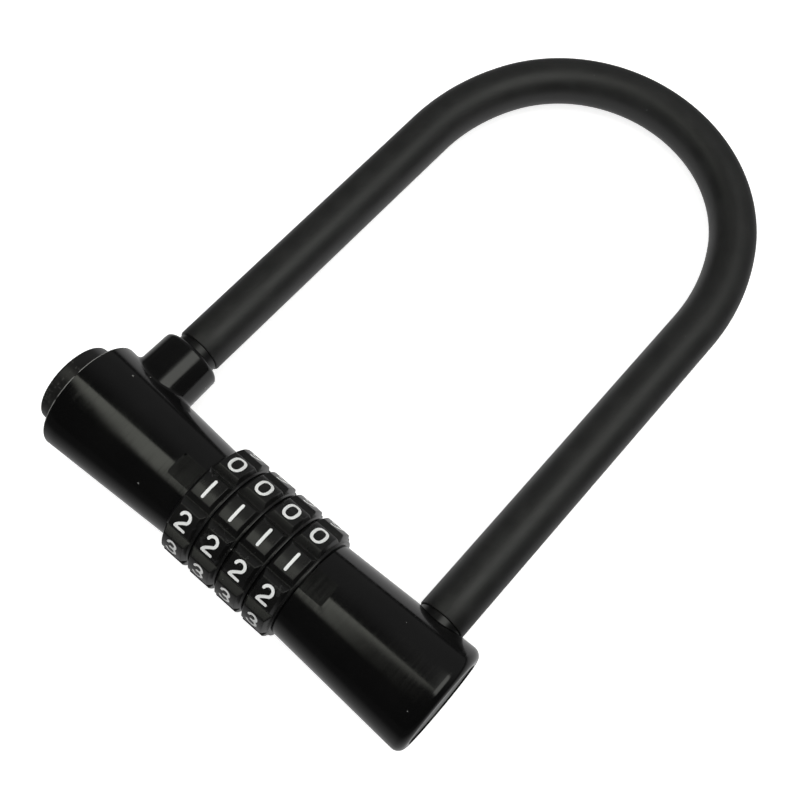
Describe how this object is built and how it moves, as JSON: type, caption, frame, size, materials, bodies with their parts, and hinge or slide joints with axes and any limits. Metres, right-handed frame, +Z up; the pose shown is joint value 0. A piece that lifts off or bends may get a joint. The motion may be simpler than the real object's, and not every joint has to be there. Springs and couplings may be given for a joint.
{
  "type": "u lock",
  "caption": "Combination U-lock: black sleeved steel shackle, tapered cast crossbar with number dials, push-in locking button and a code selector in its end.",
  "frame": {"origin": "on the surface the lock lies on, below the middle of its outline", "axes": "+X along the crossbar away from the button, +Y from the crossbar to the top of the shackle, +Z up, square to the shackle"},
  "size_m": [0.1326, 0.2098, 0.0343],
  "materials": {
    "black_lacquer": "gloss black lacquer on cast zinc",
    "end_plate_black": "satin black coat on pressed steel",
    "selector_black": "satin black coat",
    "tube_steel": "turned and zinc plated",
    "spring_steel": "bright drawn",
    "guide_nylon": "moulded nylon",
    "bush_steel": "dark plated, worn bright at the rim",
    "brass": "turned brass",
    "button_black": "moulded, with fine turning marks",
    "cast_zinc": "as-cast zinc",
    "shackle_steel": "hardened, plated",
    "sleeve_vinyl": "matt black vinyl with a fine grain",
    "ferrule_black": "moulded",
    "dial_black": "satin moulded, white inlaid numerals",
    "ring_nylon": "moulded nylon"
  },
  "bodies": {
    "crossbar": {"left_casting": "black_lacquer", "right_casting": "black_lacquer", "core_tube": "tube_steel", "tube_pins": "tube_steel", "click_leaf": "spring_steel", "collar_bush": "guide_nylon", "socket_bush": "bush_steel", "end_plate": "end_plate_black", "return_spring": "spring_steel", "spring_seat": "brass", "dial_washers": "spring_steel"},
    "shackle": {"shackle_core": "shackle_steel", "shackle_sleeve": "sleeve_vinyl", "left_ferrule": "ferrule_black", "right_ferrule": "ferrule_black"},
    "latch": {"push_button": "button_black", "locking_slide": "cast_zinc", "spindle": "brass"},
    "selector": {"code_selector": "selector_black"},
    "dial_1": {"dial_1": "dial_black", "code_ring_1": "ring_nylon"},
    "dial_2": {"dial_2": "dial_black", "code_ring_2": "ring_nylon"},
    "dial_3": {"dial_3": "dial_black", "code_ring_3": "ring_nylon"},
    "dial_4": {"dial_4": "dial_black", "code_ring_4": "ring_nylon"}
  },
  "joints": [
    {"name": "shackle_lift", "type": "slide", "parent": "crossbar", "child": "shackle", "axis": [0, 1, 0], "range_m": [0, 0.08]},
    {"name": "button_push", "type": "slide", "parent": "crossbar", "child": "latch", "axis": [1, 0, 0], "range_m": [0, 0.0044], "stiffness_N_per_m": 700, "springref_m": -0.004, "deforming": ["return_spring"]},
    {"name": "dial_1_turn", "type": "hinge", "parent": "crossbar", "child": "dial_1", "pos_m": [0.0023, -0.08778, 0.01715], "axis": [1, 0, 0], "continuous": true, "deforming": ["click_leaf"]},
    {"name": "dial_2_turn", "type": "hinge", "parent": "crossbar", "child": "dial_2", "pos_m": [0.0023, -0.08778, 0.01715], "axis": [1, 0, 0], "continuous": true, "deforming": ["click_leaf"]},
    {"name": "dial_3_turn", "type": "hinge", "parent": "crossbar", "child": "dial_3", "pos_m": [0.0023, -0.08778, 0.01715], "axis": [1, 0, 0], "continuous": true, "deforming": ["click_leaf"]},
    {"name": "dial_4_turn", "type": "hinge", "parent": "crossbar", "child": "dial_4", "pos_m": [0.0023, -0.08778, 0.01715], "axis": [1, 0, 0], "continuous": true, "deforming": ["click_leaf"]},
    {"name": "selector_turn", "type": "hinge", "parent": "crossbar", "child": "selector", "pos_m": [0.0573, -0.09728, 0.01715], "axis": [1, 0, 0], "range_deg": [0, 90]}
  ]
}
